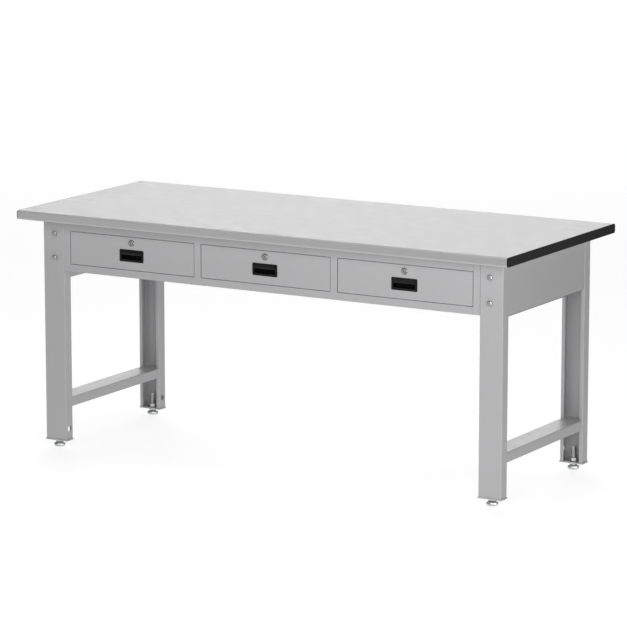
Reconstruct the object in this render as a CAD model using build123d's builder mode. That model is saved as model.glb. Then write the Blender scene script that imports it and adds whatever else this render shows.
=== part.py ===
from build123d import *
import os

# Workbench with three drawers. Millimetres, +Z up. X runs along the bench, the drawers face -Y.
# The origin is on the floor, under the middle of the bench.

# ---- driving dimensions ----------------------------------------------------------------------

# whole bench
bench_length = 1800.0
bench_depth = 750.0
bench_height = 796.0

# worktop
top_thickness = 30.0
top_edge_radius = 8.0
laminate = 0.8
edge_band = 2.0

# folded steel channel legs
steel = 2.0
leg_width = 80.0
leg_depth = 38.0
leg_lip = 12.0
leg_bend = 2.5
side_overhang = 52.0
front_overhang = 76.5
back_overhang = 70.5
cable_hole_radius = 10.0
cable_hole_above_plate = 36.5

# levelling feet
pad_radius = 19.0
pad_edge = 1.0
pad_top_radius = 12.0
pad_rim_height = 8.0
pad_height = 15.0
foot_height = 22.0
base_plate = 4.0
plate_margin = 2.0
stud_radius = 8.0
stud_top = 76.0
stud_seat = 5.0
stud_chamfer = 1.0
collar_flats = 24.0
collar_gap = 0.3
nut_flats = 24.0
nut_height = 13.0
running_gap = 0.06

# end frames
end_inset = 2.5
stretcher_top = 166.5
stretcher_height = 32.0
shelf_hole_radius = 3.0
shelf_hole_pitch_x = 42.0
shelf_hole_pitch_y = 182.0
bearer_drop = 26.0
bearer_ledge = 20.0
bracket_width = 54.0
bracket_margin = 6.0
flange_setback = 1.0
tongue_gap = 0.5

# leg bolts, M10 hexagon
bolt_from_top = 81.0
bolt_spacing = 80.0
bolt_offset = 5.0
bolt_radius = 5.0
bolt_flats = 17.0
bolt_head = 7.0
bolt_shank = 18.0
bolt_nut = 8.0
bolt_clearance = 0.5

# drawer case
drawer_count = 3
sheet = 1.5
case_inset = 1.0
case_gap = 0.25
case_height = 171.0
case_depth = 561.0
stile = 24.0
bay_width = 480.0
bottom_rail = 24.0
bay_height = 111.0
rail_return = 13.0
top_flange = 26.0
bottom_flange = 26.0
back_flange = 32.0
case_bend = 1.2

# drawers
reveal = 2.0
reveal_height = 1.5
front_thickness = 18.0
front_bend = 1.5
box_sheet = 1.2
box_width = 454.0
box_height = 96.0
box_depth = 510.0
box_raise = 4.0

# recessed pulls
pull_width = 92.0
pull_height = 40.0
pull_corner = 4.0
pull_rim = 6.0
pull_proud = 1.5
pull_depth = 15.0
pull_wall = 1.5
pull_below_top = 128.6
hood_top = 16.5
hood_lip = 2.0
hood_bulge = 3.0
hood_thickness = 2.0

# cam locks
lock_below_top = 87.0
lock_face_radius = 11.0
lock_face = 4.0
lock_edge = 1.0
lock_body_radius = 9.5
plug_radius = 7.0
plug_proud = 0.5
key_slot_width = 2.0
key_slot_height = 9.0
key_slot_depth = 3.0
neck_radius = 4.0
cam_reach = 30.0
cam_width = 14.0
cam_tip_inset = 1.0
cam_thickness = 2.5
cam_gap = 0.5

# telescopic slides
slide_length = 500.0
slide_height = 45.0
slide_space = (bay_width - box_width) / 2
slide_sheet = 1.3
outer_depth = 10.5
middle_height = 38.0
middle_depth = 8.4
middle_step = 0.8
inner_height = 27.0
inner_depth = 8.8
slide_end_gap = 1.5
slide_drop = 8.0

# wood screws that hold the top down
screw_radius = 2.25
screw_length = 22.0
screw_head_radius = 4.5
screw_head = 2.5
screw_setback = 18.0
screw_spacing = 320.0

# ---- levels and places worked out from them ----------------------------------------------------

half_length = bench_length / 2
half_depth = bench_depth / 2
top_under = bench_height - top_thickness
frame_front = -half_depth + front_overhang
frame_back = half_depth - back_overhang
leg_outer_x = half_length - side_overhang
leg_inner_x = leg_outer_x - leg_width
leg_x = leg_outer_x - leg_width / 2
leg_bottom = foot_height + base_plate
lips_front = frame_front + leg_depth
lips_back = frame_back - leg_depth
panel_x = leg_outer_x - end_inset
panel_inner_x = leg_inner_x + steel
frame_middle = (frame_front + frame_back) / 2
bolt_x = leg_x - bolt_offset
bolt_hole_radius = bolt_radius + bolt_clearance
bolt_levels = (bench_height - bolt_from_top, bench_height - bolt_from_top - bolt_spacing)

case_bottom = top_under - case_height
case_front = frame_front + case_inset
case_back = case_front + case_depth
case_half = leg_inner_x - case_gap
rail_back = case_front + sheet + rail_return
bay_bottom = case_bottom + bottom_rail
bay_top = bay_bottom + bay_height
bay_pitch = bay_width + stile
bays_half = (drawer_count * bay_pitch - stile) / 2
floor_top = case_bottom + 2 * sheet

front_bottom = bay_bottom + reveal_height
front_top = bay_top - reveal_height
front_half = bay_width / 2 - reveal
box_front = case_front + front_thickness
box_bottom = front_bottom + box_raise
box_half = box_width / 2
pull_z = bench_height - pull_below_top
lock_z = bench_height - lock_below_top
slide_z = box_bottom + box_height / 2 - slide_drop
slide_front = box_front + slide_end_gap

sides = {"left": -1, "right": 1}
rows = {"front": -1, "back": 1}
row_web = {"front": frame_front, "back": frame_back}
row_lips = {"front": lips_front, "back": lips_back}
bays = {"left": -bay_pitch, "middle": 0.0, "right": bay_pitch}
screw_ends = (frame_middle - screw_spacing / 2, frame_middle + screw_spacing / 2)
screw_front_y = case_front + screw_setback
screw_back_y = case_back - back_flange / 2

# ---- helpers -----------------------------------------------------------------------------------


def slab(x0, x1, y0, y1, z0, z1, mode=Mode.ADD):
    """Add or cut a box between two opposite corners."""
    with Locations(((x0 + x1) / 2, (y0 + y1) / 2, (z0 + z1) / 2)):
        Box(abs(x1 - x0), abs(y1 - y0), abs(z1 - z0), mode=mode)


def rod(point, direction, radius, length, mode=Mode.ADD):
    """Add or cut a cylinder that starts at a point and runs along a direction."""
    with Locations(Plane(origin=point, z_dir=direction)):
        Cylinder(radius, length, align=(Align.CENTER, Align.CENTER, Align.MIN), mode=mode)


def hexagon(point, direction, flats, length):
    """Add a hexagonal prism, measured across its flats, with its corners up and down."""
    with BuildSketch(Plane(origin=point, x_dir=(0, 0, 1), z_dir=direction)) as outline:
        RegularPolygon(flats / 2, 6, major_radius=False)
    extrude(outline.sketch, amount=length)


def finish(builder, label):
    """Name a finished piece and write it."""
    builder.part.label = label
    export_step(builder.part, f"parts/{label}.step")


def finish_welded(builders, label):
    """Name and write a piece of spot-welded sheets, which touch and stay solids of their own."""
    sheets = [solid for builder in builders for solid in builder.part.solids()]
    export_step(Compound(sheets, label=label), f"parts/{label}.step")


os.makedirs("parts", exist_ok=True)

# ---- worktop -----------------------------------------------------------------------------------

core_depth = bench_depth - 2 * laminate
core_thickness = top_thickness - 2 * laminate
top_middle = bench_height - top_thickness / 2
end_plane = Plane(origin=(-half_length, 0, top_middle), x_dir=(0, 1, 0), z_dir=(1, 0, 0))
screw_points = [(side * leg_x, y) for side in sides.values() for y in screw_ends]
screw_points += [(x, y) for x in bays.values() for y in (screw_front_y, screw_back_y)]

with BuildPart() as core:
    with BuildSketch(end_plane.offset(edge_band)):
        RectangleRounded(core_depth, core_thickness, top_edge_radius - laminate)
    extrude(amount=bench_length - 2 * edge_band)
    for x, y in screw_points:
        rod((x, y, top_under), (0, 0, 1), screw_radius, screw_length - steel, mode=Mode.SUBTRACT)
finish(core, "tabletop_core")

with BuildPart() as skin:
    with BuildSketch(end_plane.offset(edge_band)):
        RectangleRounded(bench_depth, top_thickness, top_edge_radius)
        RectangleRounded(core_depth, core_thickness, top_edge_radius - laminate, mode=Mode.SUBTRACT)
    extrude(amount=bench_length - 2 * edge_band)
    for x, y in screw_points:
        rod((x, y, top_under), (0, 0, 1), screw_radius, laminate, mode=Mode.SUBTRACT)
finish(skin, "tabletop_laminate")

for name, start in (("left", 0.0), ("right", bench_length - edge_band)):
    with BuildPart() as band:
        with BuildSketch(end_plane.offset(start)):
            RectangleRounded(bench_depth, top_thickness, top_edge_radius)
        extrude(amount=edge_band)
    finish(band, f"edge_band_{name}")

# Each screw comes up through a flange that lies against the underside of the top.
with BuildPart() as screws:
    for x, y in screw_points:
        flange = steel if abs(x) > case_half else sheet
        rod((x, y, top_under - flange), (0, 0, 1), screw_radius, screw_length - steel + flange)
        rod((x, y, top_under - flange), (0, 0, -1), screw_head_radius, screw_head)
finish(screws, "tabletop_screws")

# ---- legs and feet -----------------------------------------------------------------------------

for side_name, side in sides.items():
    for row_name, row in rows.items():
        web = row_web[row_name]
        leg_y = web - row * leg_depth / 2
        with BuildPart() as leg:
            with BuildSketch(Plane(origin=(side * leg_x, leg_y, leg_bottom))):
                RectangleRounded(leg_width, leg_depth, leg_bend)
                RectangleRounded(
                    leg_width - 2 * steel,
                    leg_depth - 2 * steel,
                    leg_bend - steel,
                    mode=Mode.SUBTRACT,
                )
                with Locations((0, -row * leg_depth / 2)):
                    Rectangle(leg_width - 2 * leg_lip, 3 * steel, mode=Mode.SUBTRACT)
            extrude(amount=top_under - leg_bottom)
            hole_z = leg_bottom + cable_hole_above_plate
            hole_start = (side * leg_inner_x, leg_y, hole_z)
            rod(hole_start, (side, 0, 0), cable_hole_radius, steel, Mode.SUBTRACT)
            for z in bolt_levels:
                rod((side * bolt_x, web, z), (0, -row, 0), bolt_hole_radius, steel, Mode.SUBTRACT)
        finish(leg, f"leg_{row_name}_{side_name}")

        with BuildPart() as pad:
            with BuildSketch(Plane(origin=(side * leg_x, leg_y, 0), x_dir=(1, 0, 0), z_dir=(0, -1, 0))):
                with BuildLine():
                    rim = Line((0, 0), (pad_radius - pad_edge, 0))
                    foot_edge = Line(rim @ 1, (pad_radius, pad_edge))
                    wall = Line(foot_edge @ 1, (pad_radius, pad_rim_height))
                    dome = RadiusArc(wall @ 1, (pad_top_radius, pad_height), -pad_radius / 2)
                    crown = Line(dome @ 1, (stud_radius + running_gap, pad_height))
                    socket = Line(crown @ 1, (stud_radius + running_gap, stud_seat - collar_gap))
                    seat = Line(socket @ 1, (0, stud_seat - collar_gap))
                    Line(seat @ 1, rim @ 0)
                make_face()
            revolve(axis=Axis((side * leg_x, leg_y, 0), (0, 0, 1)))
        finish(pad, f"foot_pad_{row_name}_{side_name}")

        with BuildPart() as stud:
            rod((side * leg_x, leg_y, stud_seat), (0, 0, 1), stud_radius, stud_top - stud_seat)
            chamfer(stud.edges().sort_by(Axis.Z)[-1], stud_chamfer)
            with BuildSketch(Plane(origin=(side * leg_x, leg_y, pad_height + collar_gap))):
                RegularPolygon(collar_flats / 2, 6, major_radius=False)
            extrude(amount=foot_height - pad_height - 2 * collar_gap)
        finish(stud, f"foot_stud_{row_name}_{side_name}")

foot_points = [(s * leg_x, row_web[r] - rows[r] * leg_depth / 2) for s in sides.values() for r in rows]

with BuildPart() as plates:
    with BuildSketch(Plane.XY.offset(foot_height)):
        with Locations(*foot_points):
            RectangleRounded(leg_width + 2 * plate_margin, leg_depth + 2 * plate_margin, leg_bend)
            Circle(stud_radius + bolt_clearance, mode=Mode.SUBTRACT)
    extrude(amount=base_plate)
finish(plates, "leg_base_plates")

with BuildPart() as foot_nuts:
    with BuildSketch(Plane.XY.offset(leg_bottom)):
        with Locations(*foot_points):
            RegularPolygon(nut_flats / 2, 6, major_radius=False)
            Circle(stud_radius + running_gap, mode=Mode.SUBTRACT)
    extrude(amount=nut_height)
finish(foot_nuts, "foot_nuts")

# ---- end frames --------------------------------------------------------------------------------

for side_name, side in sides.items():
    inner_arm = side * (leg_x - bracket_width / 2)
    outer_arm = side * (leg_x + bracket_width / 2)

    # Upper cross panel: outer skin, top and bottom flanges, and a bracket inside each leg.
    with BuildPart() as panel:
        skin_x = side * (panel_x - steel)
        slab(skin_x, side * panel_x, lips_front, lips_back, case_bottom, top_under)
        flange_x = side * (panel_inner_x + flange_setback)
        slab(flange_x, skin_x, lips_front, lips_back, top_under - steel, top_under)
        slab(skin_x - side * stile, skin_x, lips_front, lips_back, case_bottom, case_bottom + steel)
        for row_name, row in rows.items():
            lips = row_lips[row_name]
            web = row_web[row_name] - row * steel
            low = case_bottom + bracket_margin
            high = top_under - bracket_margin
            slab(inner_arm, skin_x, lips, lips - row * steel, low, top_under - steel)
            slab(inner_arm, outer_arm, web, web - row * steel, low, high)
            for x, inward in ((inner_arm, side), (outer_arm, -side)):
                slab(x, x + inward * steel, web, lips - row * steel, low, high)
            for z in bolt_levels:
                rod((side * bolt_x, web, z), (0, -row, 0), bolt_hole_radius, steel, Mode.SUBTRACT)
        for y in screw_ends:
            rod((side * leg_x, y, top_under), (0, 0, -1), screw_radius, steel, mode=Mode.SUBTRACT)
    finish(panel, f"end_panel_{side_name}")

    # Lower stretcher: an inverted channel whose top runs on into the legs as a tongue.
    with BuildPart() as stretcher:
        stretcher_width = panel_x - panel_inner_x
        stretcher_x = side * (panel_x + panel_inner_x) / 2
        stretcher_start = (stretcher_x, lips_front, stretcher_top)
        with BuildSketch(Plane(origin=stretcher_start, x_dir=(1, 0, 0), z_dir=(0, 1, 0))):
            with Locations((0, stretcher_height / 2)):
                Rectangle(stretcher_width, stretcher_height)
            fillet(vertices().group_by(Axis.Y)[0], leg_bend)
            with Locations((0, stretcher_height / 2 + steel)):
                Rectangle(stretcher_width - 2 * steel, stretcher_height, mode=Mode.SUBTRACT)
        extrude(amount=lips_back - lips_front)
        tongue_half = leg_width / 2 - leg_lip - tongue_gap
        for row_name, row in rows.items():
            slab(
                side * leg_x - tongue_half,
                side * leg_x + tongue_half,
                row_lips[row_name] - row * steel,
                row_web[row_name] - row * steel,
                stretcher_top - steel,
                stretcher_top,
            )
        with Locations((side * leg_x, frame_middle, stretcher_top)):
            with GridLocations(shelf_hole_pitch_x, shelf_hole_pitch_y, 2, 3):
                Cylinder(shelf_hole_radius, 3 * steel, mode=Mode.SUBTRACT)
            with GridLocations(0, frame_back - frame_front - leg_depth, 1, 2):
                Cylinder(shelf_hole_radius, 3 * steel, mode=Mode.SUBTRACT)
    finish(stretcher, f"stretcher_{side_name}")

    # Case bearer: a plate in line with the legs' inner faces, with a ledge under the case.
    with BuildPart() as bearer:
        low = case_bottom - bearer_drop
        face = side * leg_inner_x
        back = side * panel_inner_x
        slab(face, back, lips_front, lips_back, low, top_under)
        slab(back, back + side * bearer_ledge, lips_front, lips_back, low, low + steel)
        slab(face - side * bearer_ledge, face, lips_front, lips_back, case_bottom - steel, case_bottom)
    finish(bearer, f"case_bearer_{side_name}")

with BuildPart() as bolts:
    for side in sides.values():
        for row_name, row in rows.items():
            for z in bolt_levels:
                head = (side * bolt_x, row_web[row_name], z)
                hexagon(head, (0, row, 0), bolt_flats, bolt_head)
                rod(head, (0, -row, 0), bolt_radius, bolt_shank)
finish(bolts, "leg_bolts")

with BuildPart() as nuts:
    for side in sides.values():
        for row_name, row in rows.items():
            for z in bolt_levels:
                start = (side * bolt_x, row_web[row_name] - row * 2 * steel, z)
                hexagon(start, (0, -row, 0), bolt_flats, bolt_nut)
                rod(start, (0, -row, 0), bolt_radius, bolt_nut, mode=Mode.SUBTRACT)
finish(nuts, "leg_nuts")

# ---- drawer case -------------------------------------------------------------------------------

# The rails' faces run between the end posts, and their flanges run on behind the posts.
with BuildPart() as top_rail:
    slab(-bays_half, bays_half, case_front, case_front + sheet, bay_top, top_under)
    slab(-bays_half, bays_half, case_front, rail_back, bay_top, bay_top + sheet)
    flange_back = case_front + top_flange
    slab(-case_half, case_half, case_front + sheet, flange_back, top_under - sheet, top_under)
    for x in bays.values():
        rod((x, screw_front_y, top_under), (0, 0, -1), screw_radius, sheet, mode=Mode.SUBTRACT)
finish(top_rail, "case_top_rail")

with BuildPart() as low_rail:
    slab(-bays_half, bays_half, case_front, case_front + sheet, case_bottom, bay_bottom)
    slab(-bays_half, bays_half, case_front, rail_back, bay_bottom - sheet, bay_bottom)
    flange_back = case_front + bottom_flange
    slab(-case_half, case_half, case_front + sheet, flange_back, case_bottom, case_bottom + sheet)
finish(low_rail, "case_bottom_rail")

with BuildPart() as floor_pan:
    slab(-case_half, case_half, case_front + sheet, case_back - sheet, case_bottom + sheet, floor_top)
finish(floor_pan, "case_bottom")

with BuildPart() as back:
    slab(-case_half, case_half, case_back - sheet, case_back, case_bottom, top_under)
    slab(-case_half, case_half, case_back - back_flange, case_back, top_under - sheet, top_under)
    for x in bays.values():
        rod((x, screw_back_y, top_under), (0, 0, -1), screw_radius, sheet, mode=Mode.SUBTRACT)
finish(back, "case_back")


def upright(x0, x1):
    """Outside of a hollow upright: a stile between the rails, then a deeper run behind them."""
    slab(x0, x1, case_front, rail_back, bay_bottom, bay_top)
    slab(x0, x1, rail_back, case_back - sheet, floor_top, top_under - sheet)


for side_name, side in sides.items():
    middle = side * bay_pitch / 2
    with BuildPart() as divider:
        upright(middle - stile / 2, middle + stile / 2)
        hollow = stile / 2 - sheet
        hollow_front = case_front + sheet
        slab(middle - hollow, middle + hollow, hollow_front, case_back, 0, bench_height, Mode.SUBTRACT)
    finish(divider, f"case_divider_{side_name}")

    # An end upright's face is a post of the case's full height, bent round towards the bay.
    wall = side * bays_half
    with BuildPart() as case_side:
        upright(wall, side * case_half)
        hollow_back = case_back - 2 * sheet
        hollow_x = wall + side * sheet
        slab(hollow_x, side * half_length, hollow_front, hollow_back, 0, bench_height, Mode.SUBTRACT)
        slab(wall, side * case_half, case_front, case_front + sheet, case_bottom, top_under)
        corner = case_side.edges().filter_by(Axis.Z).filter_by_position(Axis.Y, case_front, case_front)
        fillet(corner.filter_by_position(Axis.X, wall, wall), case_bend)
    finish(case_side, f"case_side_{side_name}")

# ---- telescopic slides: outer member on the case, middle member, inner member on the drawer -----


def slide_member(wall_x, inward, height, depth, start, length):
    """A C-shaped rail whose web stands at wall_x and whose flanges point along inward."""
    outside = height / 2
    slab(wall_x, wall_x + inward * depth, start, start + length, slide_z - outside, slide_z + outside)
    lips = outside - slide_sheet
    slab(
        wall_x + inward * slide_sheet,
        wall_x + inward * depth,
        start,
        start + length,
        slide_z - lips,
        slide_z + lips,
        Mode.SUBTRACT,
    )


with BuildPart() as outer_members:
    for x in bays.values():
        for side in sides.values():
            web_x = x + side * bay_width / 2
            slide_member(web_x, -side, slide_height, outer_depth, slide_front, slide_length)
finish(outer_members, "slide_outer_members")

# ---- drawers -----------------------------------------------------------------------------------

for name, x in bays.items():
    with BuildPart() as middle_members:
        for side in sides.values():
            web_x = x + side * (bay_width / 2 - slide_sheet - middle_step)
            slide_member(web_x, -side, middle_height, middle_depth, slide_front, slide_length)
    finish(middle_members, f"slide_middle_{name}")

    with BuildPart() as inner_members:
        for side in sides.values():
            web_x = x + side * box_half
            slide_member(web_x, side, inner_height, inner_depth, slide_front, slide_length)
    finish(inner_members, f"slide_inner_{name}")

    # Box: a tray folded from one sheet for the bottom and sides, with a front and back wall welded in.
    inside = box_half - box_sheet
    box_back = box_front + box_depth
    box_floor = box_bottom + box_sheet
    box_top = box_bottom + box_height
    with BuildPart() as tray:
        slab(x - box_half, x + box_half, box_front, box_back, box_bottom, box_top)
        slab(x - inside, x + inside, box_front, box_back, box_floor, box_top, Mode.SUBTRACT)
    with BuildPart() as walls:
        slab(x - inside, x + inside, box_front, box_front + box_sheet, box_floor, box_top)
        rod((x, box_front, lock_z), (0, 1, 0), lock_body_radius, box_sheet, Mode.SUBTRACT)
        slab(x - inside, x + inside, box_back - box_sheet, box_back, box_floor, box_top)
    finish_welded((tray, walls), f"drawer_box_{name}")

    with BuildPart() as front:
        slab(x - front_half, x + front_half, case_front, box_front, front_bottom, front_top)
        fillet(front.faces().sort_by(Axis.Y)[0].edges(), front_bend)
        slab(
            x - front_half + box_sheet,
            x + front_half - box_sheet,
            case_front + box_sheet,
            box_front,
            front_bottom + box_sheet,
            front_top - box_sheet,
            Mode.SUBTRACT,
        )
        with BuildSketch(Plane(origin=(x, case_front, pull_z), x_dir=(1, 0, 0), z_dir=(0, 1, 0))):
            RectangleRounded(pull_width - 2 * pull_rim, pull_height - 2 * pull_rim, pull_corner)
        extrude(amount=front_bend, mode=Mode.SUBTRACT)
        rod((x, case_front, lock_z), (0, 1, 0), lock_body_radius, box_sheet, Mode.SUBTRACT)
    finish(front, f"drawer_front_{name}")

    # Recessed pull: a thin rim, a cup, and a curved hood over the upper half that fingers hook behind.
    with BuildPart() as pull:
        pull_plane = Plane(origin=(x, case_front, pull_z), x_dir=(1, 0, 0), z_dir=(0, 1, 0))
        cup_width = pull_width - 2 * pull_rim
        cup_height = pull_height - 2 * pull_rim
        with BuildSketch(pull_plane.offset(-pull_proud)):
            RectangleRounded(pull_width, pull_height, pull_corner)
        extrude(amount=pull_proud)
        fillet(pull.faces().sort_by(Axis.Y)[0].edges(), pull_proud / 2)
        with BuildSketch(pull_plane):
            RectangleRounded(cup_width, cup_height, pull_corner)
        extrude(amount=pull_depth)
        hollow_width = cup_width - 2 * pull_wall
        hollow_height = cup_height - 2 * pull_wall
        with BuildSketch(pull_plane.offset(-pull_proud)):
            RectangleRounded(hollow_width, hollow_height, pull_corner - pull_wall)
        extrude(amount=pull_proud + pull_depth - pull_wall, mode=Mode.SUBTRACT)
        hood_half = hollow_width / 2
        crest_y = case_front - pull_proud
        with BuildSketch(Plane.YZ.offset(x - hood_half)):
            with BuildLine():
                hood_crest = (crest_y, pull_z + hood_top)
                outside = SagittaArc(hood_crest, (case_front, pull_z + hood_lip), -hood_bulge)
                lip_edge = Line(outside @ 1, (case_front + hood_thickness, pull_z + hood_lip))
                hood_root = (crest_y + hood_thickness, pull_z + hood_top)
                inside_arc = SagittaArc(lip_edge @ 1, hood_root, hood_bulge)
                Line(inside_arc @ 1, outside @ 0)
            make_face()
        extrude(amount=2 * hood_half)
    finish(pull, f"drawer_handle_{name}")

    # Cam lock: barrel in the front, key plug that turns in it, and the cam on the plug's neck.
    barrel_back = box_front + box_sheet + cam_gap
    with BuildPart() as barrel:
        rod((x, case_front, lock_z), (0, -1, 0), lock_face_radius, lock_face)
        fillet(barrel.edges().sort_by(Axis.Y)[0], lock_edge)
        rod((x, case_front, lock_z), (0, 1, 0), lock_body_radius, barrel_back - case_front)
        bore_start = (x, case_front - lock_face, lock_z)
        bore_length = lock_face + barrel_back - case_front
        rod(bore_start, (0, 1, 0), plug_radius + running_gap, bore_length, Mode.SUBTRACT)
    finish(barrel, f"lock_barrel_{name}")

    plug_front = case_front - lock_face - plug_proud
    cam_front = barrel_back + cam_gap
    with BuildPart() as plug:
        rod((x, plug_front, lock_z), (0, 1, 0), plug_radius, cam_front - plug_front)
        rod((x, cam_front, lock_z), (0, 1, 0), neck_radius, cam_thickness)
        slab(
            x - key_slot_width / 2,
            x + key_slot_width / 2,
            plug_front,
            plug_front + key_slot_depth,
            lock_z - key_slot_height / 2,
            lock_z + key_slot_height / 2,
            Mode.SUBTRACT,
        )
    finish(plug, f"lock_plug_{name}")

    with BuildPart() as cam:
        with BuildSketch(Plane(origin=(x, cam_front, lock_z), x_dir=(1, 0, 0), z_dir=(0, 1, 0))):
            Circle(cam_width / 2)
            with Locations(((cam_reach - cam_tip_inset) / 2, 0)):
                Rectangle(cam_reach - cam_tip_inset, cam_width)
            Circle(neck_radius, mode=Mode.SUBTRACT)
        extrude(amount=cam_thickness)
    finish(cam, f"lock_cam_{name}")
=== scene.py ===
import math

import bmesh
import bpy
from mathutils import Matrix, Vector


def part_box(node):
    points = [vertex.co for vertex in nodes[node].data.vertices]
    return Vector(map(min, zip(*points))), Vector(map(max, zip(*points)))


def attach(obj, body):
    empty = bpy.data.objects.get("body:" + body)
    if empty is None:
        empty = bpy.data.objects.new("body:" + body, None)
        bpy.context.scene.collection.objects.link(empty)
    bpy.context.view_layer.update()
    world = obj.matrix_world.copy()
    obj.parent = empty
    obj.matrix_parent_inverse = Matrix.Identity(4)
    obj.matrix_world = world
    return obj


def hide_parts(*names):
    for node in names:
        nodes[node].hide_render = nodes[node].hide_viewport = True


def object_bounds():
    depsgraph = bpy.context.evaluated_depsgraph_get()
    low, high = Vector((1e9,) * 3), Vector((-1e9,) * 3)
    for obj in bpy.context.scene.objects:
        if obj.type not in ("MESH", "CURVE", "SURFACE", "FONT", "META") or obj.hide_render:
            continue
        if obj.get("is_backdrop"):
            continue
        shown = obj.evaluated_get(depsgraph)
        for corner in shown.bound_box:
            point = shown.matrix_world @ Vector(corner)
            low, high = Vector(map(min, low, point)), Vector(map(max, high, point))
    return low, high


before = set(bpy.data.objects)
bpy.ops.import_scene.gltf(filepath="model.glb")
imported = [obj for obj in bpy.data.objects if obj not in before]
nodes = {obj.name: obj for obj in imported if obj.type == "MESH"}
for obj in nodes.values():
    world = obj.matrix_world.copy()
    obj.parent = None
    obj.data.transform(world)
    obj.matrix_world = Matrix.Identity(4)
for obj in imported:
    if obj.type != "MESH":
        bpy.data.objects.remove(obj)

# Looks for the workbench with three drawers. Metres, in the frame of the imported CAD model.

MM = 0.001
cad_low, cad_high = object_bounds()

BAYS = ("left", "middle", "right")
CORNERS = [f"{row}_{side}" for row in ("front", "back") for side in ("left", "right")]
UP = (0, 0, 1)

# The camera's place, its turn from the Y axis, its dip, and its lens and sensor in mm.
CAMERA_PLACE = (5.6043, -9.5367, 2.5924)
CAMERA_AZIMUTH = 0.53101
CAMERA_DIP = 0.18887
CAMERA_LENS, CAMERA_SENSOR = 199.25, 36.0

# The floor's glow on the run along the view and beside it, and where that run lies.
FLOOR_RUN, FLOOR_ASIDE = 0.80, 0.55
RUN_SPREAD = 0.095
RUN_FULL, RUN_END = 1.1, 2.2
RUN_START, RUN_MET = -4.0, -2.2

# How far back from the worktop's front the painted shade on its rounded edge fades out, and where the pulls'
# plastic dulls towards the back of the cup.
EDGE_SHADE_WIDTH = 2.6 * MM
PULL_FRONT = -299.0 * MM
CUP_SHADE = 6.0 * MM

# ---- helpers for material graphs ----------------------------------------------------------------


class Graph:
    """A new material with a Principled shader, and short ways to add and join its nodes."""

    def __init__(self, name):
        self.material = bpy.data.materials.new(name)
        self.material.use_nodes = True
        self.tree = self.material.node_tree
        self.shader = self.tree.nodes["Principled BSDF"]
        self.coords = self.tree.nodes.new("ShaderNodeTexCoord").outputs["Object"]

    def add(self, kind, **settings):
        """A node whose inputs are set or linked by name, with spaces written as underscores."""
        node = self.tree.nodes.new("ShaderNode" + kind)
        for key, value in settings.items():
            name = key.replace("_", " ")
            if name not in node.inputs:
                setattr(node, key, value)
            elif isinstance(value, bpy.types.NodeSocket):
                self.tree.links.new(value, node.inputs[name])
            else:
                node.inputs[name].default_value = value
        return node

    def maths(self, operation, first, second):
        """A Math node on a socket and a second socket or number."""
        node = self.add("Math", operation=operation, Value=first)
        if isinstance(second, bpy.types.NodeSocket):
            self.tree.links.new(second, node.inputs[1])
        else:
            node.inputs[1].default_value = second
        return node.outputs["Value"]

    def stretched(self, stretch):
        """The object's coordinates, scaled unevenly if asked."""
        if not stretch:
            return self.coords
        return self.add("Mapping", Vector=self.coords, Scale=stretch).outputs["Vector"]

    def noise(self, scale, detail=2.0, rough=0.5, stretch=None):
        vector = self.stretched(stretch)
        return self.add("TexNoise", Vector=vector, Scale=scale, Detail=detail, Roughness=rough).outputs["Fac"]

    def cells(self, scale, stretch=None):
        return self.add("TexVoronoi", Vector=self.stretched(stretch), Scale=scale)

    def band(self, value, low, high, start=0.3, end=0.7):
        """value, read between start and end, as a number between low and high."""
        node = self.add("MapRange", Value=value, From_Min=start, From_Max=end, To_Min=low, To_Max=high)
        return node.outputs["Result"]

    def blend(self, factor, a, b):
        """Colour a where factor is 0, and b where it is 1."""
        node = self.tree.nodes.new("ShaderNodeMix")
        node.data_type = "RGBA"
        ends = {"A": a, "B": b}
        self.tree.links.new(factor, node.inputs["Factor"])
        for socket in node.inputs:
            if socket.type == "RGBA" and socket.name in ends:
                value = ends[socket.name]
                if isinstance(value, bpy.types.NodeSocket):
                    self.tree.links.new(value, socket)
                else:
                    socket.default_value = (*value, 1.0)
        return next(s for s in node.outputs if s.type == "RGBA")

    def bump(self, height, depth, strength=1.0, under=None):
        node = self.add("Bump", Height=height, Distance=depth, Strength=strength)
        if under is not None:
            self.tree.links.new(under, node.inputs["Normal"])
        return node.outputs["Normal"]

    def set(self, **values):
        """Set or link the shader's own inputs."""
        for key, value in values.items():
            socket = self.shader.inputs[key.replace("_", " ")]
            if isinstance(value, bpy.types.NodeSocket):
                self.tree.links.new(value, socket)
            elif socket.type == "RGBA":
                socket.default_value = (*value, 1.0)
            else:
                socket.default_value = value
        return self.material


# ---- materials ----------------------------------------------------------------------------------


def powder_coat():
    """Light grey powder coat: an even colour over a fine orange-peel skin."""
    g = Graph("grey_powder_coat")
    tone = g.band(g.noise(7.0, 4.0), 0.0, 1.0)
    fleck = g.band(g.noise(1900.0, 2.0), 0.0, 1.0, 0.25, 0.75)
    base = g.blend(tone, (0.397, 0.393, 0.401), (0.407, 0.403, 0.411))
    peel = g.bump(g.noise(420.0, 3.0, 0.55), 0.05 * MM, 0.3)
    skin = g.bump(g.noise(2300.0, 2.0), 0.02 * MM, 0.3, peel)
    return g.set(
        Base_Color=g.blend(fleck, base, (0.410, 0.406, 0.414)),
        Roughness=g.band(g.noise(55.0, 3.0), 0.46, 0.56),
        Specular_IOR_Level=0.5,
        Normal=skin,
    )


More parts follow.
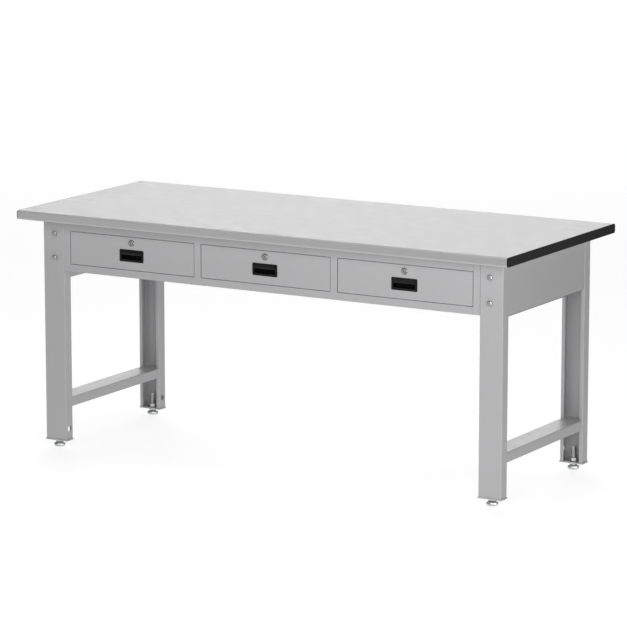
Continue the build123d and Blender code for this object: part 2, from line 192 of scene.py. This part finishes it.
def laminate():
    """Light grey laminate with a faint fleck and a suede finish, and painted shade on its rounded front edge
    that deepens from the left end to the right.
    """
    g = Graph("grey_laminate")
    cloud = g.band(g.noise(5.0, 5.0), 0.0, 1.0)
    fleck = g.band(g.cells(950.0).outputs["Distance"], 0.0, 1.0, 0.0, 0.6)
    flat = g.blend(cloud, (0.450, 0.443, 0.448), (0.458, 0.451, 0.456))
    place = g.add("SeparateXYZ", Vector=g.coords)
    # Painted shade on the rounded front edge: full at the front face, gone a few millimetres further back.
    edge_shade = g.band(place.outputs["Y"], 1.0, 0.0, cad_low[1], cad_low[1] + EDGE_SHADE_WIDTH)
    along = g.band(place.outputs["X"], 0.0, 1.0, cad_low[0], cad_high[0])
    # drawn is the painted shade's grey: lighter at the left end, darker at the right. The fleck's colour
    # takes it on the edge too.
    drawn = g.blend(along, (0.408, 0.408, 0.408), (0.316, 0.316, 0.316))
    base = g.blend(edge_shade, flat, drawn)
    speck = g.blend(edge_shade, (0.474, 0.467, 0.472), drawn)
    suede = g.bump(g.noise(1500.0, 3.0, 0.6), 0.02 * MM, 0.2)
    return g.set(
        Base_Color=g.blend(g.band(fleck, 0.0, 0.3, 0.0, 1.0), base, speck),
        Roughness=g.band(g.noise(24.0, 4.0), 0.50, 0.60),
        Specular_IOR_Level=0.4,
        Normal=suede,
    )


def edge_band():
    """Black ABS edging with faint drawn lines along its length."""
    g = Graph("black_edging")
    lines = g.noise(60.0, 3.0, stretch=(1.0, 0.05, 14.0))
    grain = g.bump(g.noise(2600.0, 2.0), 0.02 * MM, 0.5)
    return g.set(
        Base_Color=g.blend(g.band(lines, 0.0, 1.0), (0.0115, 0.0115, 0.012), (0.0145, 0.0145, 0.015)),
        Roughness=g.band(lines, 0.54, 0.66),
        Specular_IOR_Level=0.12,
        Normal=g.bump(lines, 0.03 * MM, 0.3, grain),
    )


def particle_board():
    """Raw particle board: pressed chips of several browns."""
    g = Graph("particle_board")
    chips = g.cells(330.0, stretch=(1.0, 1.0, 2.4))
    chip = g.band(chips.outputs["Color"], 0.0, 1.0, 0.1, 0.9)
    base = g.blend(chip, (0.36, 0.25, 0.14), (0.62, 0.48, 0.30))
    dust = g.band(g.noise(700.0, 4.0), 0.0, 0.6)
    return g.set(
        Base_Color=g.blend(dust, base, (0.50, 0.37, 0.22)),
        Roughness=g.band(g.noise(240.0), 0.82, 0.95),
        Normal=g.bump(chips.outputs["Distance"], 0.3 * MM, 0.6),
    )


def moulded_plastic():
    """Black moulded plastic with a fine spark-eroded grain, satin outside and dull inside the cup."""
    g = Graph("black_plastic")
    depth = g.add("SeparateXYZ", Vector=g.coords).outputs["Y"]
    tone = g.band(g.noise(90.0, 3.0), 0.0, 1.0)
    grain = g.bump(g.noise(2400.0, 3.0, 0.6), 0.04 * MM, 0.6)
    return g.set(
        Base_Color=g.blend(tone, (0.0030, 0.0030, 0.0032), (0.0050, 0.0050, 0.0053)),
        Roughness=g.band(g.noise(140.0, 2.0), 0.34, 0.46),
        Specular_IOR_Level=g.band(depth, 0.22, 0.02, PULL_FRONT, PULL_FRONT + CUP_SHADE),
        Normal=grain,
    )


def plated(name, cool, warm, rough, streak=None):
    """A plated metal whose tint drifts a little, with fine lines where it was turned or drawn."""
    g = Graph(name)
    tint = g.band(g.noise(45.0, 3.0), 0.0, 1.0)
    lines = g.noise(900.0, 2.0, stretch=streak)
    return g.set(
        Base_Color=g.blend(tint, cool, warm),
        Metallic=1.0,
        Roughness=g.band(g.noise(160.0, 4.0), rough - 0.05, rough + 0.06),
        Normal=g.bump(lines, 0.02 * MM, 0.35),
    )


def turned_metal(name, cool, warm, rough):
    """Plated metal turned on a lathe: fine rings round the piece's own Z axis."""
    g = Graph(name)
    tint = g.band(g.noise(120.0, 3.0), 0.0, 1.0)
    rings = g.add(
        "TexWave", wave_type="RINGS", rings_direction="Z", Vector=g.coords,
        Scale=420.0, Distortion=0.6, Detail=1.0,
    )
    return g.set(
        Base_Color=g.blend(tint, cool, warm),
        Metallic=1.0,
        Roughness=g.band(g.noise(260.0, 3.0), rough - 0.04, rough + 0.06),
        Normal=g.bump(rings.outputs["Fac"], 0.02 * MM, 0.3),
    )


def pale_floor():
    """A plain white studio floor: brightest on the run that the camera looks along, paler beside it."""
    g = Graph("pale_floor")
    turned = g.add("Mapping", Vector=g.coords, Rotation=(0.0, 0.0, -CAMERA_AZIMUTH))
    place = g.add("SeparateXYZ", Vector=turned.outputs["Vector"])
    aside = g.add("Math", operation="ABSOLUTE", Value=place.outputs["X"]).outputs["Value"]
    narrow = g.maths("SUBTRACT", aside, g.maths("MULTIPLY", place.outputs["Y"], RUN_SPREAD))
    across = g.band(narrow, 1.0, 0.0, RUN_FULL, RUN_END)
    along = g.band(place.outputs["Y"], 0.0, 1.0, RUN_START, RUN_MET)
    run = g.maths("MULTIPLY", across, along)
    drift = g.band(g.noise(0.7, 3.0), 0.0, 1.0)
    return g.set(
        Base_Color=g.blend(drift, (0.298, 0.298, 0.298), (0.304, 0.304, 0.304)),
        Roughness=g.band(g.noise(30.0), 0.85, 0.95),
        Specular_IOR_Level=0.1,
        Emission_Color=(1.0, 1.0, 1.0),
        Emission_Strength=g.band(run, FLOOR_ASIDE, FLOOR_RUN, 0.0, 1.0),
    )


def glowing_panel(name, strength):
    """A white diffuser lit from behind, its glow varying a little in broad patches."""
    g = Graph(name)
    cloud = g.band(g.noise(0.5, 2.0), 0.97, 1.03)
    return g.set(
        Base_Color=g.blend(g.band(g.noise(4.0), 0.0, 1.0), (0.29, 0.29, 0.29), (0.31, 0.31, 0.31)),
        Roughness=0.9,
        Specular_IOR_Level=0.1,
        Emission_Color=(1.0, 1.0, 1.0),
        Emission_Strength=g.maths("MULTIPLY", cloud, strength),
    )


PAINT = powder_coat()
LAMINATE = laminate()
EDGING = edge_band()
BOARD = particle_board()
PLASTIC = moulded_plastic()
ZINC = plated("bright_zinc", (0.40, 0.42, 0.43), (0.45, 0.45, 0.44), 0.24)
SCREW_ZINC = plated("screw_zinc", (0.56, 0.58, 0.59), (0.62, 0.62, 0.61), 0.42)
TURNED_ZINC = turned_metal("turned_zinc", (0.50, 0.52, 0.53), (0.56, 0.56, 0.56), 0.38)
SLIDE_STEEL = plated("slide_zinc", (0.55, 0.57, 0.59), (0.63, 0.63, 0.61), 0.33, streak=(1.0, 0.03, 1.0))
CHROME = turned_metal("chromed_barrel", (0.25, 0.25, 0.25), (0.29, 0.285, 0.28), 0.22)
NICKEL = turned_metal("satin_nickel", (0.38, 0.38, 0.38), (0.42, 0.415, 0.41), 0.28)

# ---- helpers for meshes -------------------------------------------------------------------------


def paint(obj, material):
    """Give an object one material, in place of any it has."""
    obj.data.materials.clear()
    obj.data.materials.append(material)


def piece(name, verts, faces, body, material, stands_for=(), smooth=False):
    """A new mesh piece in the row frame, riding on a body."""
    mesh = bpy.data.meshes.new(name)
    mesh.from_pydata([tuple(v) for v in verts], [], faces)
    mesh.update()
    for polygon in mesh.polygons:
        polygon.use_smooth = smooth
    obj = bpy.data.objects.new(name, mesh)
    bpy.context.scene.collection.objects.link(obj)
    paint(obj, material)
    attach(obj, body)
    if stands_for:
        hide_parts(*stands_for)
    return obj


def bevel(obj, width, segments=2, angle=40.0):
    """Round an object's sharp edges with modifiers, so that they catch the light."""
    weld = obj.modifiers.new("weld", "WELD")
    weld.merge_threshold = 0.002 * MM
    edge = obj.modifiers.new("bevel", "BEVEL")
    edge.width = width * MM
    edge.segments = segments
    edge.limit_method = "ANGLE"
    edge.angle_limit = math.radians(angle)
    edge.use_clamp_overlap = True
    edge.harden_normals = False
    normals = obj.modifiers.new("normals", "WEIGHTED_NORMAL")
    normals.keep_sharp = False


def ring(count, radius, height):
    """Points evenly round a circle about Z."""
    step = math.tau / count
    return [
        Vector((radius * math.cos(i * step), radius * math.sin(i * step), height))
        for i in range(count)
    ]


class Shell:
    """Rings of points about an axis, each joined to the one before it."""

    def __init__(self, origin, axis):
        self.place = Matrix.Translation(origin) @ Vector(axis).to_track_quat("Z", "X").to_matrix().to_4x4()
        self.verts, self.faces, self.last = [], [], None

    def add(self, points):
        start = len(self.verts)
        self.verts += [self.place @ p for p in points]
        now = list(range(start, start + len(points)))
        if self.last:
            for i in range(len(now)):
                k = (i + 1) % len(now)
                self.faces.append((self.last[i], self.last[k], now[k], now[i]))
        self.last = now
        return now

    def cap(self, loop, flip=False):
        self.faces.append(tuple(reversed(loop)) if flip else tuple(loop))


def lathe(profile, origin, axis, count=48, hollow=False):
    """A solid of revolution from (radius, height) pairs: capped at both ends, or a ring if hollow."""
    shell = Shell(origin, axis)
    first = shell.add(ring(count, profile[0][0] * MM, profile[0][1] * MM))
    for radius, height in profile[1:]:
        last = shell.add(ring(count, radius * MM, height * MM))
    if hollow:
        for i in range(count):
            k = (i + 1) % count
            shell.faces.append((last[i], last[k], first[k], first[i]))
    else:
        shell.cap(first, flip=True)
        shell.cap(last)
    return shell.verts, shell.faces


# A hexagon's round face as a share of its flats, and the slope of the corners that are turned off.
CROWN = 0.84
CHAMFER = math.tan(math.radians(30))


def hex_outline(flats, crown, height, share=6):
    """One ring of a chamfered hexagon: the side's edge, lower where the corner stands outside the crown."""
    points = []
    for i in range(6 * share):
        angle = math.tau * i / (6 * share)
        off = (angle + math.pi / 6) % (math.pi / 3) - math.pi / 6
        radius = flats / 2 / math.cos(off)
        drop = max(0.0, radius - crown) * CHAMFER
        points.append(Vector((radius * math.cos(angle), radius * math.sin(angle), height - drop)) * MM)
    return points


def hex_head(flats, height, origin, axis, both=False):
    """A hexagon head or nut with its corners turned off at the outer face, or at both faces."""
    crown = flats / 2 * CROWN
    rim = hex_outline(flats, crown, height)
    shell = Shell(origin, axis)
    low = shell.add([Vector((p.x, p.y, height * MM - p.z if both else 0.0)) for p in rim])
    shell.add(rim)
    top = shell.add(ring(len(rim), crown * MM, height * MM))
    shell.cap(top)
    shell.cap(low, flip=True)
    return shell.verts, shell.faces


# A thread's depth as a share of its pitch, and how far the core stays below its root.
THREAD_DEPTH = 0.54
CORE_INSET = 0.05


def threaded_rod(radius, pitch, length, origin, axis, count=20):
    """A rod with a helical thread: crest and root follow one winding strip over a plain core."""
    root = radius - THREAD_DEPTH * pitch
    place = Shell(origin, axis).place
    marks = ((0.0, radius), (0.12, radius), (0.5, root), (0.62, root))
    columns = int(length / pitch) * count
    verts, faces = [], []
    for step in range(columns + 1):
        angle = math.tau * step / count
        along = pitch * step / count
        for share, r in marks:
            height = min(max(along + (share - 0.5) * pitch, 0.0), length)
            verts.append(place @ (Vector((r * math.cos(angle), r * math.sin(angle), height)) * MM))
    width = len(marks)
    for step in range(columns):
        for k in range(width - 1):
            a = step * width + k
            faces.append((a, a + width, a + width + 1, a + 1))
        if step + count < columns:
            a = step * width + width - 1
            b = (step + count) * width
            faces.append((a, a + width, b + width, b))
    core = root - CORE_INSET
    return merge((verts, faces), lathe(((core, 0), (core, length)), origin, axis, count))


def merge(*parts):
    """Several (verts, faces) as one."""
    verts, faces = [], []
    for part_verts, part_faces in parts:
        base = len(verts)
        verts += part_verts
        faces += [tuple(i + base for i in face) for face in part_faces]
    return verts, faces


def solid_boxes(name):
    """Low and high corners of each separate solid in a CAD node."""
    mesh = nodes[name].data
    keys = [tuple(round(c / (0.01 * MM)) for c in v.co) for v in mesh.vertices]
    parent = {key: key for key in keys}

    def root(key):
        while parent[key] != key:
            key = parent[key]
        return key

    for polygon in mesh.polygons:
        first = root(keys[polygon.vertices[0]])
        for i in polygon.vertices[1:]:
            other = root(keys[i])
            if other != first:
                parent[other] = first
    groups = {}
    for vertex, key in zip(mesh.vertices, keys):
        groups.setdefault(root(key), []).append(vertex.co)
    boxes = []
    for points in groups.values():
        least = Vector(min(p[k] for p in points) for k in range(3))
        most = Vector(max(p[k] for p in points) for k in range(3))
        boxes.append((least, most))
    return sorted(boxes, key=lambda box: tuple(box[0]))


def weld_bead(points, radius, count=10, step=1.6):
    """A rippled bead of weld along a line from one point to another."""
    start, end = Vector(points[0]) * MM, Vector(points[1]) * MM
    length = (end - start).length / MM
    shell = Shell(start, end - start)
    rings = max(6, int(length / step * 2))
    for i in range(rings + 1):
        swell = radius * (1.0 if i % 2 else 0.8)
        if i in (0, rings):
            swell *= 0.4
        loop = shell.add(ring(count, swell * MM, length * i / rings * MM))
        if i == 0:
            shell.cap(loop, flip=True)
    shell.cap(loop)
    return shell.verts, shell.faces


# ---- CAD nodes that keep their shape ------------------------------------------------------------

# Start of the name, material, and the width of the rounded edges if any. The first match counts.
CAD_LOOKS = (
    ("tabletop_laminate", LAMINATE, None),
    ("tabletop_core", BOARD, None),
    ("edge_band", EDGING, 0.4),
    ("drawer_handle", PLASTIC, 0.3),
    ("slide", SLIDE_STEEL, 0.25),
    ("lock_barrel", CHROME, 0.25),
    ("lock", NICKEL, 0.15),
    (("foot", "leg_bolts", "leg_nuts", "tabletop_screws"), ZINC, None),
    ("", PAINT, None),
)
for name, node in nodes.items():
    material, edge_width = next(look[1:] for look in CAD_LOOKS if name.startswith(look[0]))
    paint(node, material)
    if edge_width:
        bevel(node, edge_width)

# ---- feet ---------------------------------------------------------------------------------------

PAD_PROFILE = (
    (14.8, 0.0), (16.2, 0.4), (17.5, 1.5), (18.5, 3.4), (18.95, 5.8), (18.8, 8.2),
    (18.0, 10.4), (16.6, 12.1), (15.0, 13.0), (13.9, 13.2), (13.2, 13.7), (12.6, 14.6),
    (11.9, 15.0), (8.3, 15.0), (8.1, 14.6), (8.1, 5.0),
)
COLLAR_FLATS, COLLAR_HEIGHT, COLLAR_SEAT = 24.0, 6.4, 15.3
STUD_RADIUS, STUD_PITCH, STUD_POINT = 7.95, 2.0, 1.5
STEM_TOP, THREAD_START = 22.0, 22.5
for corner in CORNERS:
    low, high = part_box(f"foot_pad_{corner}")
    middle = (low + high) / 2
    foot = Vector((middle.x, middle.y, 0.0))
    verts, faces = lathe(PAD_PROFILE, foot, UP, 64)
    piece(f"foot_cup_{corner}", verts, faces, f"foot_pad_{corner}", TURNED_ZINC,
          [f"foot_pad_{corner}"], smooth=True)
    low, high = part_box(f"foot_stud_{corner}")
    bottom, top = low.z / MM, high.z / MM
    length = top - (THREAD_START + STUD_POINT)
    start = foot + Vector((0, 0, THREAD_START * MM))
    shank = threaded_rod(STUD_RADIUS, STUD_PITCH, length, start, UP, 24)
    stem_profile = ((7.6, 0), (7.9, 0.4), (7.9, STEM_TOP - bottom))
    stem = lathe(stem_profile, foot + Vector((0, 0, low.z)), UP, 32)
    collar = foot + Vector((0, 0, COLLAR_SEAT * MM))
    nut = hex_head(COLLAR_FLATS, COLLAR_HEIGHT, collar, UP, both=True)
    verts, faces = merge(shank, stem, nut)
    piece(f"foot_screw_{corner}", verts, faces, f"foot_stud_{corner}", SCREW_ZINC,
          [f"foot_stud_{corner}"])

# ---- lock bezels --------------------------------------------------------------------------------

BEZEL, BEZEL_HEIGHT, BODY_RADIUS, BORE_RADIUS = 10.95, 4.0, 9.5, 7.1
for bay in BAYS:
    low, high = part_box(f"lock_barrel_{bay}")
    middle = (low + high) / 2
    length = (high.y - low.y) / MM
    seat = length - BEZEL_HEIGHT
    profile = (
        (BORE_RADIUS, 0.0), (BODY_RADIUS - 0.3, 0.0), (BODY_RADIUS, 0.3), (BODY_RADIUS, seat), (BEZEL, seat),
        (BEZEL, seat + 0.8), (BEZEL - 0.4, seat + 1.9), (BEZEL - 1.1, seat + 2.9), (BEZEL - 2.0, seat + 3.6),
        (BEZEL - 2.9, length), (BORE_RADIUS + 0.3, length), (BORE_RADIUS, length - 0.3),
    )
    verts, faces = lathe(profile, Vector((middle.x, high.y, middle.z)), (0, -1, 0), 64, hollow=True)
    piece(f"lock_bezel_{bay}", verts, faces, f"drawer_{bay}", CHROME,
          [f"lock_barrel_{bay}"], smooth=True)

# ---- bolts, nuts and welds ----------------------------------------------------------------------

BOLT_FLATS, BOLT_HEAD, BOLT_RADIUS, BOLT_PITCH = 17.0, 7.0, 4.9, 1.5
heads = []
for low, high in solid_boxes("leg_bolts"):
    outward = -1.0 if low.y < 0 else 1.0
    outer = (low.y if outward < 0 else high.y) / MM
    inner = (high.y if outward < 0 else low.y) / MM
    x, z = (low.x + high.x) / 2, (low.z + high.z) / 2
    seat = Vector((x, (outer - outward * BOLT_HEAD) * MM, z))
    heads.append(hex_head(BOLT_FLATS, BOLT_HEAD, seat, (0, outward, 0)))
    length = abs(inner - outer) - BOLT_HEAD
    heads.append(threaded_rod(BOLT_RADIUS, BOLT_PITCH, length, seat, (0, -outward, 0)))
verts, faces = merge(*heads)
piece("hex_bolts", verts, faces, "bench", ZINC, ["leg_bolts"])

for node_name, new_name, along in (("leg_nuts", "hex_nuts", 1), ("foot_nuts", "weld_nuts", 2)):
    nuts = []
    for low, high in solid_boxes(node_name):
        sizes = [(high[k] - low[k]) / MM for k in range(3)]
        flats = min(sizes[k] for k in range(3) if k != along)
        start = (low + high) / 2
        start[along] = low[along]
        axis = [0.0, 0.0, 0.0]
        axis[along] = 1.0
        nuts.append(hex_head(flats, sizes[along], start, axis, both=True))
    verts, faces = merge(*nuts)
    piece(new_name, verts, faces, "bench", SCREW_ZINC, [node_name])

leg_low, leg_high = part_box("leg_front_right")
inner_x, web_y, lip_y = leg_low.x / MM, leg_low.y / MM, leg_high.y / MM
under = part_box("case_bottom_rail")[0].z / MM
BEAD, BEAD_DROP, BEAD_FROM_WEB, BEAD_FROM_EDGE = 0.9, 32.0, 3.0, 1.5
beads = []
for side in (-1, 1):
    x = side * (inner_x - BEAD * 0.4)
    high_end = (x, web_y + BEAD_FROM_WEB, under - BEAD_FROM_EDGE)
    low_end = (x, lip_y - BEAD_FROM_EDGE, under - BEAD_DROP)
    beads.append(weld_bead((high_end, low_end), BEAD))
verts, faces = merge(*beads)
piece("leg_welds", verts, faces, "bench", PAINT, smooth=True)

# ---- camera, stage and light --------------------------------------------------------------------

camera = bpy.data.objects.new("camera", bpy.data.cameras.new("camera"))
camera.data.sensor_width = CAMERA_SENSOR
camera.data.lens = CAMERA_LENS
camera.location = CAMERA_PLACE
camera.rotation_euler = (math.pi / 2 - CAMERA_DIP, 0.0, CAMERA_AZIMUTH)
bpy.context.scene.collection.objects.link(camera)
bpy.context.scene.camera = camera

FLOOR_RADIUS = 90.0
FLOOR_DROP = 0.3 * MM
floor_mesh = bpy.data.meshes.new("floor")
shape = bmesh.new()
bmesh.ops.create_circle(shape, cap_ends=True, segments=96, radius=FLOOR_RADIUS)
shape.to_mesh(floor_mesh)
shape.free()
floor = bpy.data.objects.new("floor", floor_mesh)
floor.location = (0, 0, -FLOOR_DROP)
bpy.context.scene.collection.objects.link(floor)
paint(floor, pale_floor())
floor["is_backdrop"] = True


def softbox(name, place, target, width, height, power, glints_only=False):
    """A rectangular soft light that faces a point, and that no camera sees."""
    lamp = bpy.data.lights.new(name, "AREA")
    lamp.shape = "RECTANGLE"
    lamp.size, lamp.size_y = width, height
    lamp.energy = power
    obj = bpy.data.objects.new(name, lamp)
    obj.location = place
    obj.rotation_euler = (Vector(target) - Vector(place)).to_track_quat("-Z", "Y").to_euler()
    obj.visible_camera = False
    obj.visible_diffuse = not glints_only
    bpy.context.scene.collection.objects.link(obj)


BACK_DISTANCE, BACK_HALF_WIDTH, BACK_HEIGHT, BACK_GLOW = 16.0, 6.0, 10.0, 4.5
onward = Vector((-math.sin(CAMERA_AZIMUTH), math.cos(CAMERA_AZIMUTH), 0.0))
across = Vector((math.cos(CAMERA_AZIMUTH), math.sin(CAMERA_AZIMUTH), 0.0))
rise = Vector((0.0, 0.0, BACK_HEIGHT))
bottom_left = onward * BACK_DISTANCE - across * BACK_HALF_WIDTH
bottom_right = onward * BACK_DISTANCE + across * BACK_HALF_WIDTH
panel_corners = [bottom_left, bottom_right, bottom_right + rise, bottom_left + rise]
back_mesh = bpy.data.meshes.new("back_panel")
back_mesh.from_pydata(panel_corners, [], [(0, 1, 2, 3)])
back_panel = bpy.data.objects.new("back_panel", back_mesh)
bpy.context.scene.collection.objects.link(back_panel)
paint(back_panel, glowing_panel("back_diffuser", BACK_GLOW))
back_panel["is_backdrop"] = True

softbox("front", (0.0, -5.8, 3.3), (0.0, 0.0, 0.5), 6.0, 2.6, 140.0)
softbox("key", (1.6, -2.6, 1.0), (0.2, 0.0, 0.45), 1.2, 1.0, 15.0)
softbox("side_key", (2.6, -2.2, 1.0), (0.2, 0.0, 0.45), 1.2, 1.0, 10.0)
softbox("overhead", (0.0, 0.3, 3.4), (0.0, 0.0, 0.8), 3.4, 2.2, 50.0)
softbox("side", (5.0, -1.4, 1.6), (0.0, 0.0, 0.5), 3.0, 2.0, 34.0)
softbox("bolt_glints", (2.4, -4.7, 2.6), (0.8, -0.3, 0.7), 1.5, 1.2, 24.0, glints_only=True)
softbox("lock_glints", (3.4, -0.7, 0.5), (0.5, -0.3, 0.6), 1.6, 0.9, 45.0, glints_only=True)

world = bpy.data.worlds.new("studio")
world.use_nodes = True
world.node_tree.nodes["Background"].inputs["Color"].default_value = (1.0, 1.0, 1.0, 1.0)
world.node_tree.nodes["Background"].inputs["Strength"].default_value = 0.02
bpy.context.scene.world = world
bpy.context.scene.view_settings.view_transform = "Standard"

# ---- sizes --------------------------------------------------------------------------------------

low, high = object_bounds()
